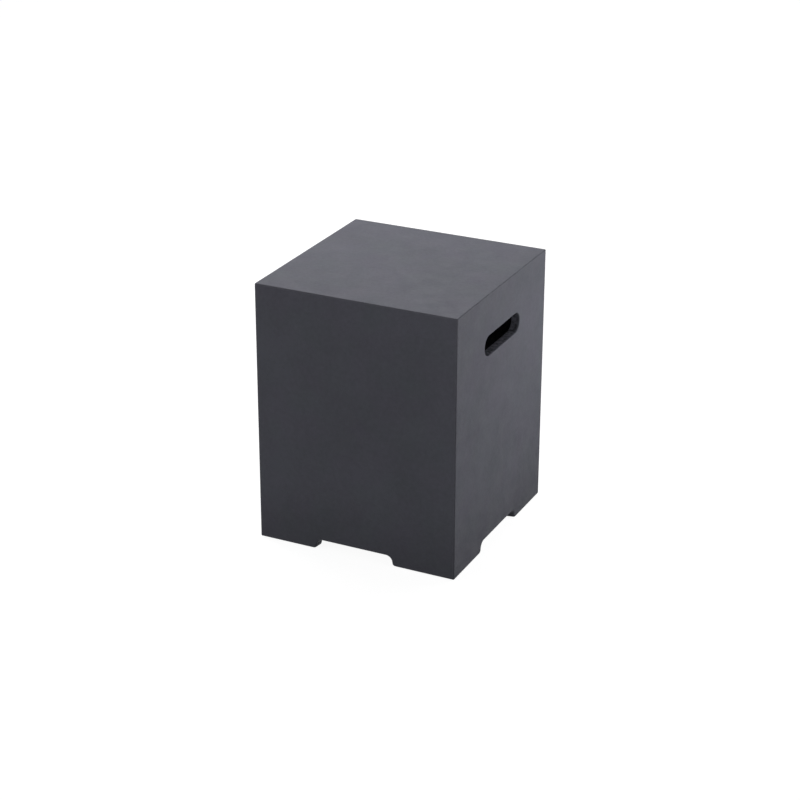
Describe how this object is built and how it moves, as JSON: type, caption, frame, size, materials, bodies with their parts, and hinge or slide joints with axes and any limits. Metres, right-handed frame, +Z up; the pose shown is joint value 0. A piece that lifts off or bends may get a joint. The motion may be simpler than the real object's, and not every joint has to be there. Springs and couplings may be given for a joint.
{
  "type": "propane tank cover table",
  "caption": "Hollow square side table of cast fibre concrete that drops over an upright gas cylinder, with hand slots and hose notches.",
  "frame": {"origin": "centre of the square footprint, on the floor under the four rubber feet", "axes": "+Z up, -Y towards the front wall, and +X and -X towards the two walls with hand slots"},
  "size_m": [0.4, 0.4, 0.51],
  "materials": {
    "fibre_concrete": "through-coloured charcoal glass-fibre concrete, smooth from the mould and sealed satin-matt",
    "foot_rubber": "moulded black rubber, matt",
    "plated_steel": "zinc-plated steel, satin",
    "plug_nylon": "moulded grey nylon"
  },
  "bodies": {
    "root": {"cast_shell": "fibre_concrete", "rubber_foot_front_left": "foot_rubber", "rubber_foot_front_right": "foot_rubber", "rubber_foot_rear_left": "foot_rubber", "rubber_foot_rear_right": "foot_rubber", "foot_washer_front_left": "plated_steel", "foot_washer_front_right": "plated_steel", "foot_washer_rear_left": "plated_steel", "foot_washer_rear_right": "plated_steel", "foot_screw_front_left": "plated_steel", "foot_screw_front_right": "plated_steel", "foot_screw_rear_left": "plated_steel", "foot_screw_rear_right": "plated_steel", "wall_plug_front_left": "plug_nylon", "wall_plug_front_right": "plug_nylon", "wall_plug_rear_left": "plug_nylon", "wall_plug_rear_right": "plug_nylon"}
  },
  "joints": []
}
